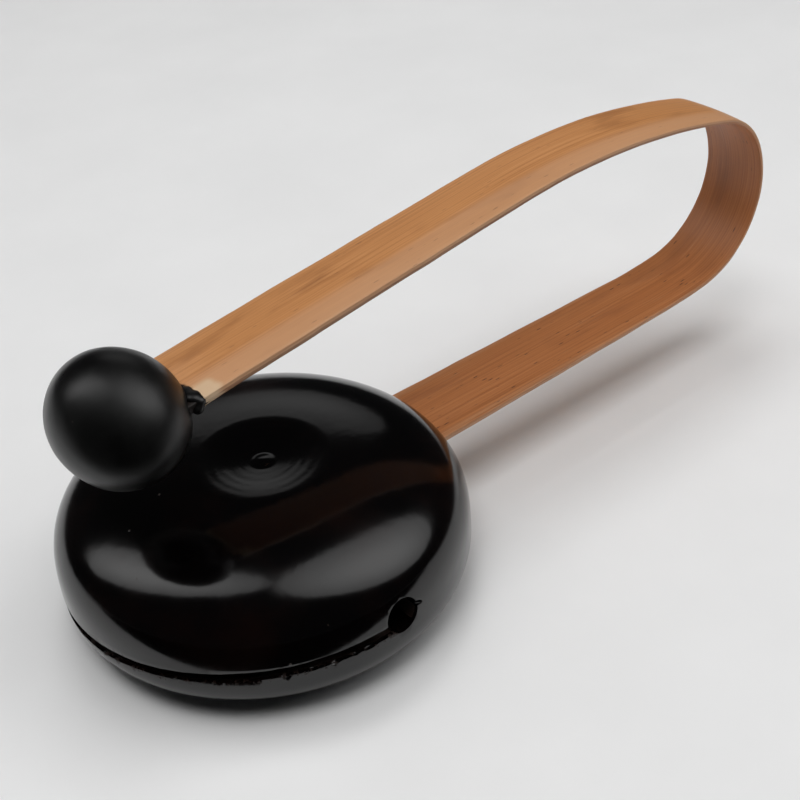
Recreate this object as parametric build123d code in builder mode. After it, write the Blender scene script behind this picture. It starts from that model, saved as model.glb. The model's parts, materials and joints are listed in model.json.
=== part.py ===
"""Slit-block clapper: a turned sound block, a bent bamboo strip spring and a wooden ball beater.

The block stands on Z = 0 with its axis on Z. The strip leaves the back of the block along +X,
turns over in a U and comes back above the block, where it carries the ball, at -X.
The strip is one piece of bamboo. It is cut into two nodes where the U stands upright, its flex point.
"""
from math import cos, radians, sin
import os

from build123d import *

os.makedirs("parts", exist_ok=True)

# Sound block (mm)
block_diameter = 70.0
block_height = 25.4
belly_height = 10.3  # the block is widest at this height
shoulder_power = 3.05  # 2 is an ellipse, a higher power is squarer
belly_power = 3.3
foot_trim = 0.2  # taken off the rounded underside to leave a flat foot
dimple_diameter = 23.0
dimple_depth = 0.9
dimple_centre = (1.4, -0.7)  # the lathe's centre mark sits a little off the axis
nub_radius = 3.0
nub_rise = 0.45

# Sound slot: a saw kerf round the front half that ends in a bore drilled right through
kerf_width = 1.8
kerf_height = 9.0
kerf_tilt = 4.4  # degrees about X; the -Y side is the higher one
bore_diameter = 6.2
bore_behind_axis = 2.6
bore_above_kerf = 1.3

# Bamboo strip: width and edge thickness at the block, at the flex point and at the ball
root_width, bend_width, ball_end_width = 16.6, 13.5, 14.8
root_thickness, bend_thickness, ball_end_thickness = 1.2, 0.7, 1.5
strip_crown = 0.4  # rise of the rounded skin side above its edges

# Strip route in the XZ plane: headings in degrees above +X, always turning left
root_height = 15.7
root_heading = 0.8
lower_run = 54.88  # straight stretch outside the block
toe_radius, toe_heading = 100.0, 7.3
bend_radius, bend_heading = 17.8, 120.5
over_radius, over_heading = 14.0, 164.8
crest_radius, arm_heading = 134.0, 187.1
upper_run = 65.08  # straight stretch outside the ball
flex_heading = 90.0
flex_gap = 0.16  # kept open between the two strip nodes

# Ball beater, turned about an axis across the strip
ball_length = 24.65
ball_diameter = 20.95
ball_power = 2.0

# Wedged joints: the strip's tail and a wedge fill a seat in the block and in the ball
block_seat_depth = 15.0
ball_seat_depth = 13.0
wedge_width = 11.0
wedge_butt = 1.5
wedge_tip = 0.6
wedge_proud = 0.8
wedge_short = 1.0  # the wedge stops this far before the seat's end
glue_line = 0.05

block_radius = block_diameter / 2
shoulder_height = block_height - belly_height
mouth_over = 4.0  # how far the seat cutters reach outside a mouth


def superellipse(radius, half_height, power, steps=8):
    """Points (r, z) of a quarter superellipse, from the widest level to the axis."""
    angles = [radians(90 * i / steps) for i in range(steps)]
    return [(radius * cos(t) ** (2 / power), half_height * sin(t) ** (2 / power)) for t in angles] + [
        (0, half_height)
    ]


def turned_outline(radius, rise, rise_power, drop, drop_power):
    """Half outline of a turned body about local Y, at its widest on local X."""
    upper = [(r, z) for r, z in superellipse(radius, rise, rise_power)]
    lower = [(r, -z) for r, z in superellipse(radius, drop, drop_power)]
    shoulder = Spline(upper, tangents=((0, 1), (-1, 0)))
    belly = Spline(lower, tangents=((0, -1), (-1, 0)))
    Line(shoulder @ 1, belly @ 1)


def strip_plane(point, heading):
    """Plane across the strip: local X is the strip's width, local Y its inner side in the loop."""
    return Plane(origin=point, x_dir=(0, 1, 0), z_dir=(cos(radians(heading)), 0, sin(radians(heading))))


def side_plane(point, heading):
    """Side view of the strip: local X runs along the heading, local Y is on its left as seen from -Y."""
    return Plane(origin=point, x_dir=(cos(radians(heading)), 0, sin(radians(heading))), z_dir=(0, -1, 0))


def strip_section(point, heading, width, thickness):
    """Cross-section of the strip: flat on its inner side, crowned on its outer, skin side."""
    with BuildSketch(strip_plane(point, heading)) as section:
        with BuildLine():
            inner = Line((width / 2, thickness / 2), (-width / 2, thickness / 2))
            edge = Line(inner @ 1, (-width / 2, -thickness / 2))
            skin = ThreePointArc(edge @ 1, (0, -thickness / 2 - strip_crown), (width / 2, -thickness / 2))
            Line(skin @ 1, inner @ 0)
        make_face()
    return section.sketch.face()


def strip_seat(depth, upper, lower):
    """Side outline of the seat for a strip's tail that reaches upper and lower on local Y."""
    top, bottom, end = upper + glue_line, -lower - glue_line, depth + glue_line
    return Polyline((-mouth_over, bottom), (end, bottom), (end, top), (-mouth_over, top), close=True)


def wedge_side(depth, strip_face, proud, allowance):
    """Side outline of a wedge laid on a strip's face, grown by an allowance to make its seat."""
    base, tip = strip_face + glue_line, depth - wedge_short + allowance
    slope = (wedge_butt - wedge_tip) / (depth - wedge_short + wedge_proud)
    tip_top = base + wedge_tip + allowance
    butt_top = tip_top + slope * (tip + proud)
    return Polyline((-proud, base), (tip, base), (tip, tip_top), (-proud, butt_top), close=True)


# --- Strip route -----------------------------------------------------------------------------
rise_share = (root_height - belly_height) / shoulder_height
block_mouth_x = block_radius * (1 - rise_share**shoulder_power) ** (1 / shoulder_power)
block_mouth = (block_mouth_x, 0, root_height)
block_seat = side_plane(block_mouth, root_heading + 180)
tail_tip = block_seat.from_local_coords((block_seat_depth, 0))

with BuildLine(Plane.XZ) as lower_route:
    run = PolarLine((tail_tip.X, tail_tip.Z), block_seat_depth + lower_run, root_heading)
    toe = JernArc(run @ 1, run % 1, toe_radius, toe_heading - root_heading)
    rise = JernArc(toe @ 1, toe % 1, bend_radius, flex_heading - toe_heading)
flex_point = rise @ 1

with BuildLine(Plane.XZ) as upper_route:
    turn = JernArc((flex_point.X, flex_point.Z), (0, 1), bend_radius, bend_heading - flex_heading)
    over = JernArc(turn @ 1, turn % 1, over_radius, over_heading - bend_heading)
    crest = JernArc(over @ 1, over % 1, crest_radius, arm_heading - over_heading)
    arm = PolarLine(crest @ 1, upper_run + ball_seat_depth, arm_heading)
head_tip = arm @ 1
ball_seat = side_plane(arm @ (upper_run / (upper_run + ball_seat_depth)), arm_heading)
ball_centre = ball_seat.from_local_coords((ball_diameter / 2, 0))

# Faces of the strip from its centre line: the skin side is down at the block and up at the ball
root_skin, root_pith = root_thickness / 2 + strip_crown, root_thickness / 2
ball_end_skin, ball_end_pith = ball_end_thickness / 2 + strip_crown, ball_end_thickness / 2

# --- Sound block -----------------------------------------------------------------------------
kerf_normal = (0, sin(radians(kerf_tilt)), cos(radians(kerf_tilt)))
kerf_plane = Plane(origin=(0, 0, kerf_height), x_dir=(1, 0, 0), z_dir=kerf_normal)
bore_plane = Plane(
    origin=kerf_plane.from_local_coords((bore_behind_axis, 0, bore_above_kerf)),
    x_dir=(1, 0, 0),
    z_dir=kerf_plane.y_dir,
)
dimple_sphere = ((dimple_diameter / 2) ** 2 + dimple_depth**2) / (2 * dimple_depth)
dimple_floor = block_height - dimple_depth
kerf_front = -block_radius - 1

with BuildPart() as sound_block:
    with BuildSketch(Plane(origin=(0, 0, belly_height), x_dir=(1, 0, 0), z_dir=(0, -1, 0))):
        with BuildLine():
            turned_outline(
                block_radius, shoulder_height, shoulder_power, belly_height + foot_trim, belly_power
            )
        make_face()
    revolve(axis=Axis.Z)
    split(bisect_by=Plane.XY, keep=Keep.TOP)
    with Locations((*dimple_centre, dimple_floor + dimple_sphere)):
        Sphere(dimple_sphere, mode=Mode.SUBTRACT)
    with Locations((*dimple_centre, dimple_floor + nub_rise - nub_radius)):
        Sphere(nub_radius)
    with BuildSketch(kerf_plane.offset(-kerf_width / 2)):
        with Locations(((kerf_front + bore_behind_axis) / 2, 0)):
            Rectangle(bore_behind_axis - kerf_front, block_diameter + 2)
    extrude(amount=kerf_width, mode=Mode.SUBTRACT)
    with BuildSketch(bore_plane):
        Circle(bore_diameter / 2)
    extrude(amount=block_radius + 1, both=True, mode=Mode.SUBTRACT)
    with BuildSketch(block_seat):
        with BuildLine():
            strip_seat(block_seat_depth, root_skin, root_pith)
        make_face()
    extrude(amount=root_width / 2 + glue_line, both=True, mode=Mode.SUBTRACT)
    with BuildSketch(block_seat):
        with BuildLine():
            wedge_side(block_seat_depth, root_skin, mouth_over, glue_line)
        make_face()
    extrude(amount=wedge_width / 2 + glue_line, both=True, mode=Mode.SUBTRACT)

# --- Bamboo strip ----------------------------------------------------------------------------
with BuildPart() as strip_lower:
    sweep(
        sections=[
            strip_section(tail_tip, root_heading, root_width, root_thickness),
            strip_section(flex_point, flex_heading, bend_width, bend_thickness),
        ],
        path=lower_route.wire(),
        multisection=True,
    )
    split(bisect_by=Plane.XY.offset(flex_point.Z - flex_gap / 2), keep=Keep.BOTTOM)

with BuildPart() as strip_upper:
    sweep(
        sections=[
            strip_section(flex_point, flex_heading, bend_width, bend_thickness),
            strip_section(head_tip, arm_heading, ball_end_width, ball_end_thickness),
        ],
        path=upper_route.wire(),
        multisection=True,
    )
    split(bisect_by=Plane.XY.offset(flex_point.Z + flex_gap / 2), keep=Keep.TOP)

# --- Ball beater -----------------------------------------------------------------------------
with BuildPart() as ball_beater:
    with BuildSketch(Plane(origin=ball_centre, x_dir=(1, 0, 0), z_dir=(0, 0, -1))):
        with BuildLine():
            turned_outline(ball_diameter / 2, ball_length / 2, ball_power, ball_length / 2, ball_power)
        make_face()
    revolve(axis=Axis(ball_centre, (0, 1, 0)))
    with BuildSketch(ball_seat):
        with BuildLine():
            strip_seat(ball_seat_depth, ball_end_pith, ball_end_skin)
        make_face()
    extrude(amount=ball_end_width / 2 + glue_line, both=True, mode=Mode.SUBTRACT)
    with BuildSketch(ball_seat):
        with BuildLine():
            wedge_side(ball_seat_depth, ball_end_pith, mouth_over, glue_line)
        make_face()
    extrude(amount=wedge_width / 2 + glue_line, both=True, mode=Mode.SUBTRACT)

# --- Wedges ----------------------------------------------------------------------------------
with BuildPart() as block_wedge:
    with BuildSketch(block_seat):
        with BuildLine():
            wedge_side(block_seat_depth, root_skin, wedge_proud, 0)
        make_face()
    extrude(amount=wedge_width / 2, both=True)

with BuildPart() as ball_wedge:
    with BuildSketch(ball_seat):
        with BuildLine():
            wedge_side(ball_seat_depth, ball_end_pith, wedge_proud, 0)
        make_face()
    extrude(amount=wedge_width / 2, both=True)

sound_block.part.label = "sound_block"
strip_lower.part.label = "strip_lower"
strip_upper.part.label = "strip_upper"
ball_beater.part.label = "ball_beater"
block_wedge.part.label = "block_wedge"
ball_wedge.part.label = "ball_wedge"

for piece in (sound_block, strip_lower, strip_upper, ball_beater, block_wedge, ball_wedge):
    export_step(piece.part, f"parts/{piece.part.label}.step")
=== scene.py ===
# Slit-block clapper: a lacquered sound block, a bent bamboo strip and a ball beater.
# Metres, +Z up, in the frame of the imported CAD. Its boxes and joint give the places; the values
# below give the shapes inside those boxes.
import json
from math import acos, cos, pi, radians, sin
import random

import bpy
from mathutils import Matrix, Vector


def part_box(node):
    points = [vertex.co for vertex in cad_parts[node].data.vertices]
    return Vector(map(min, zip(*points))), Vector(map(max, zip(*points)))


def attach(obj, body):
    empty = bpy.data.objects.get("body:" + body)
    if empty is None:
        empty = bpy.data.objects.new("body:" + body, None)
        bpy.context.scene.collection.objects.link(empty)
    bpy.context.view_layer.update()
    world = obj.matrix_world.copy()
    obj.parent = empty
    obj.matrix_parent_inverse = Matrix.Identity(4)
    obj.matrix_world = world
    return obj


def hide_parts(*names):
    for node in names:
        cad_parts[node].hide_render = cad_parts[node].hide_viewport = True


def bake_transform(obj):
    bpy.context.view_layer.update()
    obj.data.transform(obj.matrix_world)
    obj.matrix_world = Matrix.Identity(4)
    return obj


MM = 0.001
EDGE_ROUNDING = 0.16 * MM
SMOOTH_ANGLE = radians(35)

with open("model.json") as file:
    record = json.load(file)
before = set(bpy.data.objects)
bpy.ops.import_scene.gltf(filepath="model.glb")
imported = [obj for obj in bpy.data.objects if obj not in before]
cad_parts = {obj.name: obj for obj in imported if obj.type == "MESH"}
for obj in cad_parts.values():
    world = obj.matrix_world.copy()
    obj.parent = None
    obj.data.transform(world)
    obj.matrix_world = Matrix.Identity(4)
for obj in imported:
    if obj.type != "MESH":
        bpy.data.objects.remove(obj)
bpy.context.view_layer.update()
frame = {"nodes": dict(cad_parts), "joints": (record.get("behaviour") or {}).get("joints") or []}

block_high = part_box("sound_block")[1]
ball_low, ball_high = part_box("ball_beater")
strip_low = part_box("strip_lower")[0]
flex_point = Vector(frame["joints"][0]["pos_m"])

# Sound block
BLOCK_RADIUS, BLOCK_HEIGHT = block_high.x, block_high.z
BELLY_HEIGHT = 10.3 * MM
SHOULDER_POWER, BELLY_POWER = 3.05, 3.3
FOOT_TRIM = 0.2 * MM
DIMPLE_RADIUS, DIMPLE_DEPTH = 11.5 * MM, 0.9 * MM
DIMPLE_SHIFT = (1.4 * MM, -0.7 * MM, 0)
NUB_RADIUS, NUB_RISE = 2.2 * MM, 0.40 * MM
RING_PITCH, RING_DEPTH, RING_REACH = 3.4 * MM, 0.007 * MM, 12 * MM

# Sound slot
KERF_WIDTH, KERF_HEIGHT, KERF_TILT = 1.8 * MM, 9.0 * MM, radians(4.4)
BORE_RADIUS, BORE_BEHIND_AXIS, BORE_ABOVE_KERF = 3.1 * MM, 2.6 * MM, 1.3 * MM
# Splinters broken off the slot's lower lip: degrees round the block, and radius in mm
LIP_CHIPS = ((-96, 0.80), (-101, 0.64), (-106, 0.88), (-112, 0.64), (-119, 0.80), (-127, 0.64),
             (-136, 0.72), (-148, 0.56), (-171, 0.48))
BORE_CHIP_RADIUS = 0.9 * MM

# Bamboo strip: sizes at the block, at the flex point and at the ball
ROOT_WIDTH, BEND_WIDTH, BALL_END_WIDTH = 16.6 * MM, 13.5 * MM, 14.8 * MM
ROOT_THICK, BEND_THICK, BALL_END_THICK = 1.2 * MM, 0.7 * MM, 1.5 * MM
STRIP_CROWN = 0.4 * MM
TAIL_X, ROOT_HEIGHT = strip_low.x, 15.49 * MM
ROOT_HEADING = 0.8
# Each stretch of the route: its length, or its radius and the heading it turns to
ROUTE = (
    ("run", 69.88 * MM),
    ("turn", 100.0 * MM, 7.3),
    ("turn", 17.8 * MM, 120.5),
    ("turn", 14.0 * MM, 164.8),
    ("turn", 134.0 * MM, 187.1),
    ("run", 78.08 * MM),
)
ROUTE_STEP, STRIP_STATIONS = 0.5 * MM, 46
BALL_MOUTH = 244.5 * MM  # where the strip enters the ball, along the strip
GLUE_LINE = 0.05 * MM
WEDGE_WIDTH, WEDGE_BUTT, WEDGE_TIP = 11.0 * MM, 1.7 * MM, 0.6 * MM
BALL_SEAT_DEPTH, SEAT_OVERRUN, SEAT_SIDE_PLAY = 13.0 * MM, 4 * MM, 0.2 * MM

# Dried lacquer at the ball's mouth, lump by lump in mm: ahead, aside, above, radius; and its flatness
BLOT_LUMPS = (
    (-0.5, -5.7, 0.4, 1.5, 0.5),
    (-0.7, -4.0, 0.6, 1.3, 0.4),
    (0.0, -6.8, -0.1, 1.1, 0.8),
    (-0.7, -7.2, -1.0, 1.0, 0.9),
)


# --- Tools of the bench ---------------------------------------------------------------------
def drop_selection():
    """Leaves nothing selected, so the next operator acts on its own piece alone."""
    for other in list(bpy.context.selected_objects):
        other.select_set(False)


def take(piece):
    """Makes a piece the active and only selected one."""
    drop_selection()
    piece.select_set(True)
    bpy.context.view_layer.objects.active = piece
    return piece


def edit_mode():
    bpy.ops.object.mode_set(mode="EDIT")


def object_mode():
    bpy.ops.object.mode_set(mode="OBJECT")


def select_points(piece, wanted):
    """Opens the piece for editing with just the points selected that are in a wanted place."""
    take(piece)
    edit_mode()
    bpy.ops.mesh.select_mode(type="VERT")
    bpy.ops.mesh.select_all(action="DESELECT")
    object_mode()
    for point in piece.data.vertices:
        point.select = wanted(point.co)
    edit_mode()


def select_edges(piece, wanted):
    """Opens the piece for editing with just the edges selected whose run is wanted."""
    take(piece)
    edit_mode()
    bpy.ops.mesh.select_mode(type="EDGE")
    bpy.ops.mesh.select_all(action="DESELECT")
    object_mode()
    points = piece.data.vertices
    for edge in piece.data.edges:
        edge.select = wanted(points[edge.vertices[0]].co, points[edge.vertices[1]].co)
    edit_mode()


def modify(piece, kind, **settings):
    """Adds one modifier, sets it and applies it."""
    take(piece)
    modifier = piece.modifiers.new(kind.title(), kind)
    for name, value in settings.items():
        setattr(modifier, name, value)
    bpy.ops.object.modifier_apply(modifier=modifier.name)


def settle(piece, name):
    """Puts the piece's place into its mesh and names it."""
    take(piece)
    bpy.ops.object.transform_apply(location=True, rotation=True, scale=True)
    piece.name = piece.data.name = name
    return piece


def cut(piece, cutter):
    """Cuts a cutter out of a piece and throws the cutter away."""
    modify(piece, "BOOLEAN", object=cutter, operation="DIFFERENCE", solver="EXACT")
    bpy.data.objects.remove(cutter)


def clouds(name, size):
    """A soft noise texture for Displace."""
    texture = bpy.data.textures.new(name, "CLOUDS")
    texture.noise_scale = size
    texture.noise_depth = 2
    return texture


def box_cutter(low, high):
    """A plain box between two corners."""
    middle = [(a + b) / 2 for a, b in zip(low, high)]
    bpy.ops.mesh.primitive_cube_add(size=1, location=middle, scale=[b - a for a, b in zip(low, high)])
    return settle(bpy.context.object, "box_cutter")


# --- Sound block ----------------------------------------------------------------------------
def block_top(radius):
    """Height of the block's top: a squared shoulder, a turned dimple, its nub and fine tool rings."""
    rise = BLOCK_HEIGHT - BELLY_HEIGHT
    height = BELLY_HEIGHT + rise * (1 - (radius / BLOCK_RADIUS) ** SHOULDER_POWER) ** (1 / SHOULDER_POWER)
    if radius < DIMPLE_RADIUS:
        height -= DIMPLE_DEPTH * (1 - (radius / DIMPLE_RADIUS) ** 2) ** 1.8
    if radius < NUB_RADIUS:
        height += NUB_RISE * (1 - (radius / NUB_RADIUS) ** 2) ** 2
    if radius < RING_REACH:
        fade = (1 - radius / RING_REACH) ** 0.5
        height += RING_DEPTH * fade * sin(2 * pi * radius / RING_PITCH)
    return height


def block_top_at(t):
    """Height of the shoulder's superellipse at its angle t."""
    return BELLY_HEIGHT + (BLOCK_HEIGHT - BELLY_HEIGHT) * sin(t) ** (2 / SHOULDER_POWER)


def block_outline():
    """Half outline of the block, (r, z), from the top's centre round the shoulder to the foot."""
    land, land_steps, shoulder_steps, belly_steps = 16 * MM, 64, 44, 36
    outline = [(land * i / land_steps, block_top(land * i / land_steps)) for i in range(land_steps)]
    first = acos((land / BLOCK_RADIUS) ** (SHOULDER_POWER / 2))
    for i in range(shoulder_steps):
        t = first * (1 - i / shoulder_steps)
        outline.append((BLOCK_RADIUS * cos(t) ** (2 / SHOULDER_POWER), block_top_at(t)))
    for i in range(belly_steps):
        t = pi / 2 * i / belly_steps
        radius = BLOCK_RADIUS * cos(t) ** (2 / BELLY_POWER)
        height = BELLY_HEIGHT - (BELLY_HEIGHT + FOOT_TRIM) * sin(t) ** (2 / BELLY_POWER)
        if height > 0:
            outline.append((radius, height))
    foot = outline[-1][0]
    return outline + [(foot * 0.97, 0), (foot * 0.5, 0), (0, 0)]


def turn_on_lathe(outline, steps):
    """Extrudes an outline of (r, z) points from one vertex and spins it round Z."""
    drop_selection()
    bpy.ops.mesh.primitive_plane_add(size=MM)
    piece = bpy.context.object
    edit_mode()
    bpy.ops.mesh.merge(type="CENTER")
    bpy.ops.transform.translate(value=(outline[0][0], 0, outline[0][1]))
    for (r0, z0), (r1, z1) in zip(outline, outline[1:]):
        bpy.ops.mesh.extrude_region_move(TRANSFORM_OT_translate={"value": (r1 - r0, 0, z1 - z0)})
    bpy.ops.mesh.select_all(action="SELECT")
    bpy.ops.mesh.spin(steps=steps, angle=2 * pi, center=(0, 0, 0), axis=(0, 0, 1))
    bpy.ops.mesh.select_all(action="SELECT")
    bpy.ops.mesh.remove_doubles(threshold=0.002 * MM)
    bpy.ops.mesh.normals_make_consistent(inside=False)
    object_mode()
    return piece


def kerf_cutter():
    """A thin saw-cut slab with rough faces, tilted as the saw was held."""
    length = BLOCK_RADIUS + 2 * MM + BORE_BEHIND_AXIS
    centre = (BORE_BEHIND_AXIS - length / 2, 0, 0)
    drop_selection()
    bpy.ops.mesh.primitive_grid_add(x_subdivisions=70, y_subdivisions=150, size=1, location=centre)
    slab = bpy.context.object
    slab.scale = (length, 2 * BLOCK_RADIUS + 4 * MM, 1)
    settle(slab, "kerf_cutter")
    modify(slab, "SOLIDIFY", thickness=KERF_WIDTH, offset=0)
    modify(slab, "DISPLACE", texture=clouds("saw_wander", 6 * MM), strength=0.30 * MM, mid_level=0.5)
    modify(slab, "DISPLACE", texture=clouds("saw_tears", 2.2 * MM), strength=0.22 * MM, mid_level=0.5)
    slab.rotation_euler = (-KERF_TILT, 0, 0)
    slab.location = (0, 0, KERF_HEIGHT)
    return settle(slab, "kerf_cutter")


def kerf_level(y, above):
    """Height at y of the plane that lies above the kerf's middle, parallel to it."""
    return KERF_HEIGHT - y * sin(KERF_TILT) / cos(KERF_TILT) + above


def bore_cutter():
    """The drill that went right through, level with the kerf's tilt."""
    drop_selection()
    bpy.ops.mesh.primitive_cylinder_add(vertices=64, radius=BORE_RADIUS, depth=2 * BLOCK_RADIUS + 8 * MM)
    drill = bpy.context.object
    drill.rotation_euler = (pi / 2 - KERF_TILT, 0, 0)
    drill.location = (BORE_BEHIND_AXIS, 0, KERF_HEIGHT + BORE_ABOVE_KERF)
    return settle(drill, "bore_cutter")


def chip_cutter():
    """Small splinters broken off the kerf's lower lip and the bore's rim, as one cutter."""
    draw = random.Random(5)
    places = []
    for degrees_round, size in LIP_CHIPS:
        a = radians(degrees_round)
        x, y = (BLOCK_RADIUS - 0.1 * MM) * cos(a), (BLOCK_RADIUS - 0.1 * MM) * sin(a)
        places.append((x, y, kerf_level(y, -KERF_WIDTH / 2 + 0.1 * MM), size * MM))
    rim = -BLOCK_RADIUS + 0.4 * MM
    places.append((BORE_BEHIND_AXIS + BORE_RADIUS, rim, kerf_level(rim, 1.8 * MM), BORE_CHIP_RADIUS))
    chips = []
    for x, y, z, size in places:
        drop_selection()
        bpy.ops.mesh.primitive_ico_sphere_add(subdivisions=2, radius=size, location=(x, y, z))
        chip = bpy.context.object
        chip.scale = (draw.uniform(1.2, 2.2), draw.uniform(0.8, 1.2), draw.uniform(0.4, 0.6))
        chip.rotation_euler = (draw.uniform(-0.4, 0.4), draw.uniform(-0.4, 0.4), draw.uniform(0, pi))
        settle(chip, "chip")
        modify(chip, "DISPLACE", texture=clouds("chip_break", 1.0 * MM), strength=0.2 * MM, mid_level=0.5)
        chips.append(chip)
    drop_selection()
    for chip in chips:
        chip.select_set(True)
    bpy.ops.object.join()
    return bpy.context.object


def make_sound_block():
    block = turn_on_lathe(block_outline(), 240)
    settle(block, "lacquered_block")
    select_points(block, lambda p: p.z > BLOCK_HEIGHT - 3 * MM and p.x**2 + p.y**2 < DIMPLE_RADIUS**2)
    bpy.ops.transform.translate(value=DIMPLE_SHIFT, use_proportional_edit=True,
                                proportional_edit_falloff="SMOOTH", proportional_size=14 * MM)
    object_mode()
    cut(block, bore_cutter())
    cut(block, chip_cutter())
    cut(block, kerf_cutter())
    seat_top, seat_floor = ROOT_HEIGHT + ROOT_THICK, ROOT_HEIGHT - ROOT_THICK
    cut(block, box_cutter((TAIL_X, -ROOT_WIDTH / 2 - GLUE_LINE, seat_floor),
                          (BLOCK_RADIUS + MM, ROOT_WIDTH / 2 + GLUE_LINE, seat_top)))
    wedge_low, wedge_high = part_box("block_wedge")
    cut(block, box_cutter((wedge_low.x, wedge_low.y, wedge_low.z - GLUE_LINE),
                          (BLOCK_RADIUS + MM, wedge_high.y, wedge_high.z + 0.3 * MM)))
    modify(block, "BEVEL", width=EDGE_ROUNDING, segments=2, limit_method="ANGLE", angle_limit=radians(40))
    take(block)
    bpy.ops.object.shade_smooth_by_angle(angle=SMOOTH_ANGLE)
    return block


# --- Bamboo strip ---------------------------------------------------------------------------
def walk_route():
    """Points of the strip's centre line in XZ, walked along its runs and turns."""
    x, z, heading = TAIL_X, ROOT_HEIGHT, radians(ROOT_HEADING)
    points = [(x, 0, z)]
    for stretch in ROUTE:
        turn = radians(stretch[2]) - heading if stretch[0] == "turn" else 0.0
        length = stretch[1] * turn if turn else stretch[1]
        steps = max(2, round(length / ROUTE_STEP))
        for _ in range(steps):
            x += cos(heading + turn / steps / 2) * length / steps
            z += sin(heading + turn / steps / 2) * length / steps
            heading += turn / steps
            points.append((x, 0, z))
    return points


def route_length(points):
    return sum((Vector(b) - Vector(a)).length for a, b in zip(points, points[1:]))


def tapered(share, flex_share, at_block, at_flex, at_ball):
    """Straight taper of a size from the block over the flex point to the ball."""
    if share < flex_share:
        return at_block + (at_flex - at_block) * share / flex_share
    return at_flex + (at_ball - at_flex) * (share - flex_share) / (1 - flex_share)


def strip_section():
    """Outline (y, z) of the strip at the block: pith side flat, skin side crowned."""
    steps, half, rise = 26, ROOT_WIDTH / 2, ROOT_THICK / 2
    across = [half * (1 - 2 * i / steps) for i in range(steps + 1)]
    pith = [(y, rise) for y in across]
    skin = [(-y, -rise - STRIP_CROWN * (1 - (y / half) ** 2)) for y in across]
    return pith + skin


def make_strip():
    """A split of bamboo drawn out along X with its tapers, then bent along the route."""
    route = walk_route()
    length = route_length(route)
    flex_share = route_length([p for p in route if p[2] < flex_point.z and p[0] > 0]) / length
    outline = strip_section()
    drop_selection()
    bpy.ops.mesh.primitive_plane_add(size=MM)
    strip = bpy.context.object
    edit_mode()
    bpy.ops.mesh.merge(type="CENTER")
    bpy.ops.transform.translate(value=(0, *outline[0]))
    for (y0, z0), (y1, z1) in zip(outline, outline[1:]):
        bpy.ops.mesh.extrude_region_move(TRANSFORM_OT_translate={"value": (0, y1 - y0, z1 - z0)})
    bpy.ops.mesh.select_all(action="SELECT")
    bpy.ops.mesh.edge_face_add()
    width, thick = ROOT_WIDTH, ROOT_THICK
    for station in range(1, STRIP_STATIONS + 1):
        share = station / STRIP_STATIONS
        next_width = tapered(share, flex_share, ROOT_WIDTH, BEND_WIDTH, BALL_END_WIDTH)
        next_thick = tapered(share, flex_share, ROOT_THICK, BEND_THICK, BALL_END_THICK)
        bpy.ops.mesh.extrude_region_move(TRANSFORM_OT_translate={"value": (length / STRIP_STATIONS, 0, 0)})
        bpy.ops.transform.resize(value=(1, next_width / width, next_thick / thick),
                                 center_override=(share * length, 0, 0))
        width, thick = next_width, next_thick
    object_mode()
    select_edges(strip, lambda a, b: abs(b.x - a.x) > 0.9 * (b - a).length)
    bpy.ops.mesh.subdivide(number_cuts=8)
    bpy.ops.mesh.select_all(action="SELECT")
    bpy.ops.mesh.normals_make_consistent(inside=False)
    object_mode()
    modify(strip, "DISPLACE", texture=clouds("split_wander", 11 * MM), strength=0.35 * MM, mid_level=0.5,
           direction="Y", texture_coords="LOCAL")
    grain = strip.data.attributes.new("grain", "FLOAT_VECTOR", "POINT")
    for point, along in zip(strip.data.vertices, grain.data):
        along.vector = (point.co.x, point.co.y, 1 if point.co.z > 0 else -1)
    modify(strip, "BEVEL", width=EDGE_ROUNDING, segments=2, limit_method="ANGLE", angle_limit=radians(50))
    former = bent_former(route)
    modify(strip, "CURVE", object=former, deform_axis="POS_X")
    bpy.data.objects.remove(former)
    take(strip)
    bpy.ops.object.shade_smooth_by_angle(angle=SMOOTH_ANGLE)
    return settle(strip, "bamboo_strip")


def bent_former(route):
    """The curve that the strip is bent along."""
    drop_selection()
    bpy.ops.curve.primitive_nurbs_path_add()
    former = bpy.context.object
    former.data.splines.clear()
    spline = former.data.splines.new("POLY")
    spline.points.add(len(route) - 1)
    for point, place in zip(spline.points, route):
        point.co = (*place, 1)
    former.data.dimensions = "3D"
    former.data.twist_mode = "MINIMUM"
    return former


# --- Ball beater ----------------------------------------------------------------------------
def sloped_seat_cutter(low, high, taper):
    """A box that slopes with the arm from the strip's end, its far lower edge raised by a taper."""
    cutter = box_cutter(low, high)
    select_points(cutter, lambda p: p.x < low[0] + MM and p.z < low[2] + taper / 2)
    bpy.ops.transform.translate(value=(0, 0, taper))
    object_mode()
    cutter.rotation_euler = (0, pi - radians(ROUTE[-2][2]), 0)
    cutter.location = walk_route()[-1]
    return cutter


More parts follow.
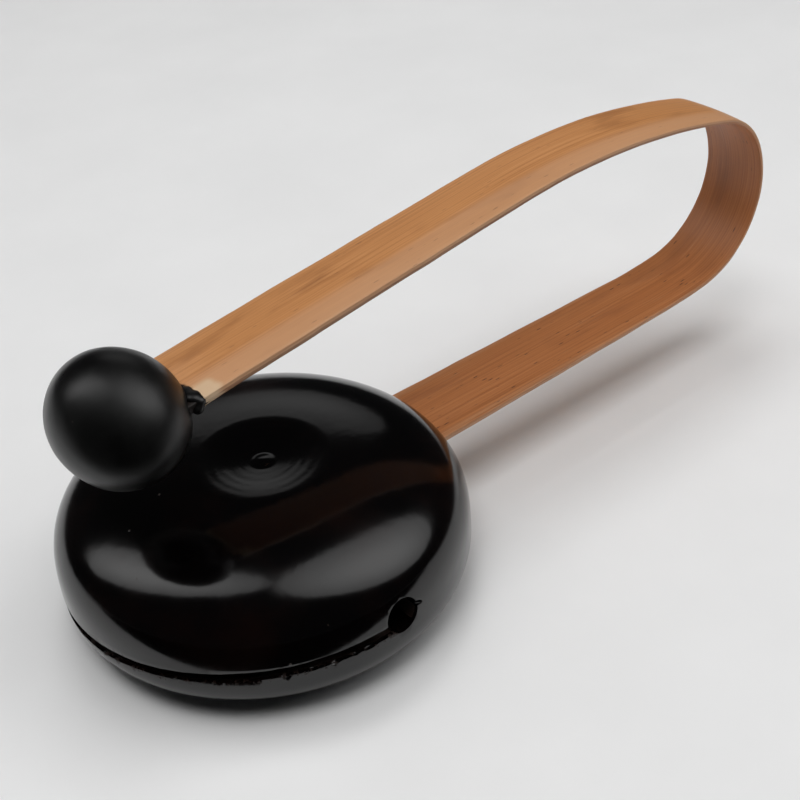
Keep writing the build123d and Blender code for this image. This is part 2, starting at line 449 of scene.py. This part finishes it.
def make_ball():
    """A ball turned across the strip, a little uneven, with its seat cut for strip and wedge."""
    centre = (ball_low + ball_high) / 2
    radius = (ball_high.z - ball_low.z) / 2
    centre.x = ball_low.x + radius
    drop_selection()
    bpy.ops.mesh.primitive_uv_sphere_add(segments=128, ring_count=96, radius=radius, location=centre)
    ball = bpy.context.object
    ball.rotation_euler = (pi / 2, 0, 0)
    ball.scale = (1, 1, (ball_high.y - ball_low.y) / (2 * radius))
    settle(ball, "lacquered_ball")
    modify(ball, "DISPLACE", texture=clouds("ball_hand_finish", 9 * MM), strength=0.18 * MM, mid_level=0.5)
    mouth, pith = BALL_SEAT_DEPTH + SEAT_OVERRUN, -BALL_END_THICK / 2
    half, wedge_half = BALL_END_WIDTH / 2 + SEAT_SIDE_PLAY, WEDGE_WIDTH / 2 + GLUE_LINE
    skin = BALL_END_THICK / 2 + STRIP_CROWN * BALL_END_THICK / ROOT_THICK
    strip_floor, strip_roof = pith - GLUE_LINE, skin + GLUE_LINE
    cut(ball, sloped_seat_cutter((-GLUE_LINE, -half, strip_floor), (mouth, half, strip_roof), 0.0))
    wedge_floor = pith - WEDGE_BUTT - 3 * GLUE_LINE
    cut(ball, sloped_seat_cutter((MM - GLUE_LINE, -wedge_half, wedge_floor), (mouth, wedge_half, pith),
                                 WEDGE_BUTT - WEDGE_TIP))
    take(ball)
    bpy.ops.object.shade_smooth_by_angle(angle=SMOOTH_ANGLE)
    return ball


def make_blot():
    """Lacquer that welled out of the ball's seat and dried in a low ridge on the strip."""
    mouth = Vector((ball_high.x, 0, (ball_low.z + ball_high.z) / 2 + 1.6 * MM))
    lumps = []
    for ahead, aside, above, size, flat in BLOT_LUMPS:
        drop_selection()
        place = mouth + Vector((ahead, aside, above)) * MM
        bpy.ops.mesh.primitive_ico_sphere_add(subdivisions=4, radius=size * MM, location=place)
        lump = bpy.context.object
        lump.scale.z = flat
        lumps.append(settle(lump, "lump"))
    drop_selection()
    for lump in lumps:
        lump.select_set(True)
    bpy.ops.object.join()
    blot = settle(bpy.context.object, "lacquer_blot")
    modify(blot, "REMESH", mode="VOXEL", voxel_size=0.16 * MM)
    modify(blot, "DISPLACE", texture=clouds("dried_runs", 1.4 * MM), strength=0.12 * MM, mid_level=0.5)
    modify(blot, "SMOOTH", factor=0.5, iterations=40)
    take(blot)
    bpy.ops.object.shade_smooth()
    return blot


# --- Materials ------------------------------------------------------------------------------
class Finish:
    """A material under construction: short calls that add a node and give back its output."""

    def __init__(self, name):
        self.material = bpy.data.materials.new(name)
        self.material.use_nodes = True
        self.nodes = self.material.node_tree.nodes
        self.links = self.material.node_tree.links
        self.shader = self.nodes["Principled BSDF"]

    def put(self, socket, value):
        if isinstance(value, bpy.types.NodeSocket):
            self.links.new(value, socket)
        else:
            socket.default_value = value

    def node(self, kind, output=0, settings=None, **inputs):
        made = self.nodes.new(kind)
        for name, value in (settings or {}).items():
            setattr(made, name, value)
        for name, value in inputs.items():
            key = int(name[1:]) if name[0] == "i" and name[1:].isdigit() else name.replace("_", " ")
            self.put(made.inputs[key], value)
        return made.outputs[output]

    def place(self):
        return self.node("ShaderNodeTexCoord", output="Object")

    def scaled(self, vector, scale, rotation=(0, 0, 0), location=(0, 0, 0)):
        return self.node("ShaderNodeMapping", Vector=vector, Scale=scale, Rotation=rotation,
                         Location=location)

    def noise(self, vector, scale, detail=3.0, roughness=0.5):
        return self.node("ShaderNodeTexNoise", Vector=vector, Scale=scale, Detail=detail,
                         Roughness=roughness)

    def cells(self, vector, scale):
        return self.node("ShaderNodeTexVoronoi", output="Distance", Vector=vector, Scale=scale)

    def math(self, operation, a, b=0.0):
        return self.node("ShaderNodeMath", settings={"operation": operation}, i0=a, i1=b)

    def band(self, value, start, end, low=0.0, high=1.0):
        return self.node("ShaderNodeMapRange", settings={"interpolation_type": "SMOOTHSTEP"}, Value=value,
                         From_Min=start, From_Max=end, To_Min=low, To_Max=high)

    def colours(self, factor, *stops):
        made = self.nodes.new("ShaderNodeValToRGB")
        self.links.new(factor, made.inputs["Fac"])
        ramp = made.color_ramp
        while len(ramp.elements) < len(stops):
            ramp.elements.new(0.5)
        for element, (place, colour) in zip(ramp.elements, stops):
            element.position = place
            element.color = (*colour, 1)
        return made.outputs["Color"]

    def mix(self, factor, a, b):
        made = self.nodes.new("ShaderNodeMix")
        made.data_type = "RGBA"
        self.put(made.inputs[0], factor)
        for socket, value in ((made.inputs[6], a), (made.inputs[7], b)):
            self.put(socket, (*value, 1) if isinstance(value, tuple) else value)
        return made.outputs[2]

    def bump(self, height, distance, strength=1.0, normal=None):
        made = self.nodes.new("ShaderNodeBump")
        made.inputs["Strength"].default_value = strength
        made.inputs["Distance"].default_value = distance
        self.links.new(height, made.inputs["Height"])
        if normal is not None:
            self.links.new(normal, made.inputs["Normal"])
        return made.outputs["Normal"]

    def finish(self, **inputs):
        for name, value in inputs.items():
            self.put(self.shader.inputs[name.replace("_", " ")], value)
        return self.material


def lacquer(name, gloss, depth_colour):
    """Black lacquer over turned wood: soft waves, dust nibs, rubbed patches."""
    f = Finish(name)
    here = f.place()
    rubbed = f.noise(here, 60.0, 4.0, 0.6)
    waves = f.noise(here, 220.0, 2.0)
    orange_peel = f.noise(here, 1500.0, 2.0)
    nib_size = f.cells(here, 330.0)
    nib_some = f.noise(here, 180.0, 1.0)
    nibs = f.math("MULTIPLY", f.band(nib_size, 0.10, 0.04), f.band(nib_some, 0.60, 0.66))
    colour = f.mix(f.band(rubbed, 0.45, 0.75), (0.0010, 0.0007, 0.0008), depth_colour)
    colour = f.mix(f.math("MULTIPLY", nibs, 0.5), colour, (0.10, 0.08, 0.065))
    rough = f.math("ADD", f.band(rubbed, 0.3, 0.8, gloss * 0.8, gloss * 1.35), f.math("MULTIPLY", nibs, 0.3))
    normal = f.bump(waves, 0.05 * MM, 0.6)
    normal = f.bump(orange_peel, 0.004 * MM, 0.6, normal)
    normal = f.bump(nibs, 0.03 * MM, 0.8, normal)
    return f, here, colour, rough, normal


def block_lacquer():
    f, here, colour, rough, normal = lacquer("block_black_lacquer", 0.13, (0.0040, 0.0014, 0.0011))
    parts = f.nodes.new("ShaderNodeSeparateXYZ")
    f.links.new(here, parts.inputs[0])
    x, y, z = parts.outputs
    flat_radius = f.math("SQRT", f.math("ADD", f.math("MULTIPLY", x, x), f.math("MULTIPLY", y, y)))
    # Bare wood inside the saw kerf and the bore
    tilted = f.math("ADD", f.math("MULTIPLY", y, sin(KERF_TILT)),
                    f.math("MULTIPLY", f.math("SUBTRACT", z, KERF_HEIGHT), cos(KERF_TILT)))
    off_kerf = f.math("ABSOLUTE", tilted)
    torn = f.noise(here, 900.0, 3.0, 0.7)
    in_kerf = f.band(off_kerf, KERF_WIDTH * 0.62, KERF_WIDTH * 0.5)
    inside = f.band(flat_radius, BLOCK_RADIUS - 0.3 * MM, BLOCK_RADIUS - 1.2 * MM)
    bare = f.math("MULTIPLY", in_kerf, inside)
    off_lip = f.math("ABSOLUTE", f.math("ADD", tilted, 1.1 * MM))
    scuffed = f.math("MULTIPLY", f.band(off_lip, 0.9 * MM, 0.1 * MM), f.band(torn, 0.52, 0.62))
    front = f.band(x, 4 * MM, 0.0)
    scuffed = f.math("MULTIPLY", scuffed, front)
    colour = f.mix(bare, colour, (0.018, 0.009, 0.006))
    colour = f.mix(f.math("MULTIPLY", scuffed, 0.6), colour, (0.024, 0.012, 0.009))
    rough = f.math("MAXIMUM", rough, f.math("MULTIPLY", f.math("MAXIMUM", bare, scuffed), 0.75))
    # Fine tool rings that still show through the lacquer on the top
    from_mark = f.node("ShaderNodeVectorMath", output="Value", settings={"operation": "LENGTH"},
                       i0=f.scaled(here, (1, 1, 0), location=(-DIMPLE_SHIFT[0], -DIMPLE_SHIFT[1], 0)))
    wander = f.noise(here, 130.0, 3.0, 0.6)
    rings = f.math("SINE", f.math("MULTIPLY", f.math("ADD", from_mark, f.math("MULTIPLY", wander, 1.2 * MM)),
                                  2 * pi / (1.7 * MM)))
    on_top = f.math("MULTIPLY", f.band(z, 23.5 * MM, 24.6 * MM), f.band(from_mark, 14 * MM, 6 * MM))
    on_top = f.math("MULTIPLY", on_top, f.band(wander, 0.42, 0.62))
    normal = f.bump(f.math("MULTIPLY", rings, on_top), 0.012 * MM, 0.6, normal)
    return f.finish(Base_Color=colour, Roughness=rough, Normal=normal)


def ball_lacquer():
    f, _, colour, rough, normal = lacquer("ball_black_lacquer", 0.33, (0.0050, 0.0052, 0.0050))
    return f.finish(Base_Color=colour, Roughness=rough, Normal=normal)


def bamboo():
    """Split bamboo: long fibres, pores, smoky patches; the skin side warmer than the pith side. Painted
    shade darkens the pith side from the bend on, and a painted sheen lightens the skin's -Y side.
    """
    f = Finish("stained_bamboo")
    grain = f.node("ShaderNodeAttribute", output="Vector", settings={"attribute_name": "grain"})
    parts = f.nodes.new("ShaderNodeSeparateXYZ")
    f.links.new(grain, parts.inputs[0])
    along, across, side = parts.outputs
    pith = f.band(side, -0.2, 0.2)
    fibres = f.noise(f.scaled(grain, (22.0, 2600.0, 3.0)), 1.0, 5.0, 0.65)
    fine = f.noise(f.scaled(grain, (60.0, 7000.0, 3.0)), 1.0, 3.0, 0.6)
    patches = f.noise(f.scaled(grain, (45.0, 170.0, 3.0)), 1.0, 3.0, 0.55)
    broad = f.noise(f.scaled(grain, (14.0, 60.0, 3.0)), 1.0, 2.0)
    skin = f.colours(fibres, (0.25, (0.30, 0.115, 0.034)), (0.5, (0.47, 0.205, 0.070)),
                     (0.75, (0.58, 0.285, 0.115)))
    skin = f.mix(f.band(patches, 0.52, 0.72, 0.0, 0.55), skin, (0.23, 0.085, 0.026))
    skin = f.mix(f.band(broad, 0.5, 0.7, 0.0, 0.5), skin, (0.56, 0.30, 0.155))
    inner = f.colours(fibres, (0.25, (0.28, 0.092, 0.028)), (0.5, (0.44, 0.160, 0.051)),
                      (0.8, (0.56, 0.235, 0.088)))
    inner = f.mix(f.band(patches, 0.5, 0.75, 0.0, 0.5), inner, (0.24, 0.082, 0.032))
    # Painted sheen: the -Y side of the crowned skin is painted paler and pinker, as if catching the light,
    # with a wandering border
    border = f.math("ADD", across, f.math("MULTIPLY", f.math("SUBTRACT", broad, 0.5), 6 * MM))
    painted_sheen_side = f.band(border, -1.2 * MM, -3.4 * MM, 0.0, 0.55)
    skin = f.mix(painted_sheen_side, skin, (0.50, 0.275, 0.150))
    # Painted shade: the pith side is darkened from the bend on, along the upper arm's underside where shade
    # falls
    painted_underside_shade = f.band(along, 118 * MM, 150 * MM, 1.0, 0.42)
    inner = f.mix(painted_underside_shade, (0.075, 0.028, 0.012), inner)
    colour = f.mix(pith, skin, inner)
    # Pores: short dark dashes, mostly on the pith side
    pore_cells = f.cells(f.scaled(grain, (260.0, 1500.0, 3.0)), 1.0)
    pore_some = f.noise(f.scaled(grain, (120.0, 500.0, 3.0)), 1.0, 1.0)
    pores = f.math("MULTIPLY", f.band(pore_cells, 0.20, 0.10), f.band(pore_some, 0.52, 0.60))
    pores = f.math("MULTIPLY", pores, f.band(side, -0.5, 0.5, 0.35, 0.9))
    colour = f.mix(pores, colour, (0.055, 0.022, 0.012))
    # Pale fibre ends
    pale = f.math("MULTIPLY", f.band(fine, 0.62, 0.74), f.band(side, -0.5, 0.5, 0.15, 0.55))
    colour = f.mix(pale, colour, (0.52, 0.34, 0.20))
    # Raw split edges: paler fibres, and partly a painted highlight that lifts their shade
    edge = f.band(f.math("ABSOLUTE", across), 6.2 * MM, 7.4 * MM, 0.0, 0.35)
    colour = f.mix(f.math("MULTIPLY", edge, f.band(fine, 0.35, 0.6)), colour, (0.56, 0.36, 0.21))
    # Lacquer that ran out of the ball's seat, and the bare wood beside it
    ragged = f.math("ADD", along, f.math("MULTIPLY", f.math("SUBTRACT", patches, 0.5), 6 * MM))
    bare = f.math("MULTIPLY", f.band(ragged, BALL_MOUTH - 4.5 * MM, BALL_MOUTH - 3.0 * MM),
                  f.band(across, -3.5 * MM, -5.0 * MM))
    colour = f.mix(f.math("MULTIPLY", bare, 0.7), colour, (0.62, 0.47, 0.31))
    runs = f.math("ADD", ragged, f.band(across, -1 * MM, -4 * MM, -1.2 * MM, 0.0))
    stain = f.band(runs, BALL_MOUTH - 0.9 * MM, BALL_MOUTH - 0.3 * MM)
    colour = f.mix(stain, colour, (0.006, 0.003, 0.002))
    rough = f.band(fibres, 0.3, 0.7, 0.42, 0.56)
    normal = f.bump(fibres, 0.03 * MM, 0.7)
    normal = f.bump(fine, 0.012 * MM, 0.6, normal)
    normal = f.bump(f.math("SUBTRACT", 1.0, pores), 0.05 * MM, 0.7, normal)
    return f.finish(Base_Color=colour, Roughness=rough, Normal=normal, Coat_Weight=0.12, Coat_Roughness=0.3)


def pale_wood():
    f = Finish("pale_split_wood")
    here = f.place()
    fibres = f.noise(f.scaled(here, (60.0, 1800.0, 1800.0)), 1.0, 4.0, 0.6)
    colour = f.colours(fibres, (0.3, (0.30, 0.19, 0.11)), (0.7, (0.52, 0.38, 0.24)))
    return f.finish(Base_Color=colour, Roughness=f.band(fibres, 0.3, 0.7, 0.55, 0.75),
                    Normal=f.bump(fibres, 0.05 * MM, 0.8))


def dress(piece, material):
    piece.data.materials.clear()
    piece.data.materials.append(material)


# --- Build the pieces -----------------------------------------------------------------------
block = make_sound_block()
strip = make_strip()
ball = make_ball()
blot = make_blot()

dress(block, block_lacquer())
dress(strip, bamboo())
dress(ball, ball_lacquer())
dress(blot, ball.data.materials[0])
wedge_wood = pale_wood()
for wedge in ("block_wedge", "ball_wedge"):
    dress(frame["nodes"][wedge], wedge_wood)

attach(block, "block")
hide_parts("sound_block")
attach(ball, "beater")
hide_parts("ball_beater")
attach(blot, "beater")
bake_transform(strip)
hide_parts("strip_lower", "strip_upper")

# --- Stage, lights and camera ---------------------------------------------------------------
CAMERA_AZIMUTH, CAMERA_ELEVATION, CAMERA_ROLL = -35.454, 36.075, -5.151
CAMERA_DISTANCE, CAMERA_LENS = 254.926 * MM, 65.98
AIM_RIGHT, AIM_UP = 22.2 * MM, 29.94 * MM
PANEL_DISTANCE, FILL_HEIGHT = 0.7, 0.9
CARD_WIDTH, CARD_DEPTH, CARD_NEAR_EDGE, CARD_LIFT = 2.0, 1.2, 46 * MM, 0.2 * MM

drop_selection()
bpy.ops.mesh.primitive_plane_add(size=6)
floor = bpy.context.object
floor.name = "pale_floor"
paper = Finish("pale_floor_paper")
paper_tone = paper.noise(paper.place(), 30.0)
paper_white = paper.colours(paper_tone, (0.3, (0.80, 0.80, 0.80)), (0.7, (0.83, 0.83, 0.83)))
dress(floor, paper.finish(Base_Color=paper_white, Roughness=0.9))


def direction(azimuth, elevation):
    """Unit vector towards an azimuth and elevation in degrees; azimuth 0 is the -Y side."""
    a, e = radians(azimuth), radians(elevation)
    return Vector((sin(a) * cos(e), -cos(a) * cos(e), sin(e)))


def soft_panel(name, azimuth, elevation, width, height, radiance):
    """A lit cloth panel that faces the block, brightest in its middle and cut off near its rim."""
    bpy.ops.mesh.primitive_circle_add(vertices=48, radius=0.5, fill_type="NGON")
    panel = bpy.context.object
    panel.name = name
    panel.scale = (width, height, 1)
    towards = direction(azimuth, elevation)
    panel.location = towards * PANEL_DISTANCE
    panel.rotation_euler = towards.to_track_quat("Z", "Y").to_euler()
    cloth = Finish(name + "_cloth")
    here = cloth.scaled(cloth.place(), (2, 2, 0))
    from_middle = cloth.node("ShaderNodeVectorMath", output="Value", settings={"operation": "LENGTH"},
                             i0=here)
    rim = cloth.band(from_middle, 1.0, 0.90)
    glow = cloth.math("MULTIPLY", rim, cloth.band(from_middle, 1.0, 0.1, 0.5, 1.0))
    glow = cloth.math("MULTIPLY", glow, radiance)
    emission = cloth.nodes.new("ShaderNodeEmission")
    cloth.links.new(glow, emission.inputs["Strength"])
    cloth.links.new(emission.outputs[0], cloth.nodes["Material Output"].inputs["Surface"])
    dress(panel, cloth.material)
    panel.visible_camera = False
    drop_selection()


soft_panel("left_softbox", -143, 56, 0.36, 0.92, 2.1)
soft_panel("right_softbox", 55, 55, 0.66, 1.02, 2.2)
soft_panel("back_card", 146, 27, 0.42, 0.24, 0.45)

fill = bpy.data.lights.new("overhead_fill", "AREA")
fill.size = 0.8
fill.energy = 12.5
overhead = bpy.data.objects.new("overhead_fill", fill)
bpy.context.scene.collection.objects.link(overhead)
overhead.location = (0, 0, FILL_HEIGHT)
overhead.visible_glossy = False

# A black card on the floor in front, seen only in the lacquer, which it keeps dark on the near side
drop_selection()
bpy.ops.mesh.primitive_plane_add(size=1)
black_card = bpy.context.object
black_card.name = "black_card"
black_card.scale = (CARD_WIDTH, CARD_DEPTH, 1)
black_card.rotation_euler.z = radians(CAMERA_AZIMUTH)
black_card.location = direction(CAMERA_AZIMUTH, 0) * (CARD_DEPTH / 2 + CARD_NEAR_EDGE)
black_card.location.z = CARD_LIFT
black_card.visible_camera = black_card.visible_diffuse = black_card.visible_shadow = False
card_paint = Finish("black_card_paint")
dress(black_card, card_paint.finish(Base_Color=(0.002, 0.002, 0.002, 1), Roughness=1.0,
                                    Specular_IOR_Level=0.0))

world = bpy.data.worlds.new("studio")
bpy.context.scene.world = world
world.use_nodes = True
backdrop = world.node_tree.nodes["Background"]
backdrop.inputs["Color"].default_value = (0.9, 0.95, 1.0, 1)
backdrop.inputs["Strength"].default_value = 0.015

back = direction(CAMERA_AZIMUTH, CAMERA_ELEVATION)
level_right = Vector((cos(radians(CAMERA_AZIMUTH)), sin(radians(CAMERA_AZIMUTH)), 0))
level_up = back.cross(level_right)
roll = radians(CAMERA_ROLL)
right = cos(roll) * level_right + sin(roll) * level_up
up = cos(roll) * level_up - sin(roll) * level_right
lens = bpy.data.cameras.new("camera")
lens.lens, lens.sensor_width = CAMERA_LENS, 36
lens.clip_start = 0.01
camera = bpy.data.objects.new("camera", lens)
bpy.context.scene.collection.objects.link(camera)
camera.rotation_euler = Matrix((right, up, back)).transposed().to_euler()
camera.location = right * AIM_RIGHT + up * AIM_UP + back * CAMERA_DISTANCE
bpy.context.scene.camera = camera
bpy.context.scene.view_settings.view_transform = "Standard"

bpy.context.view_layer.update()
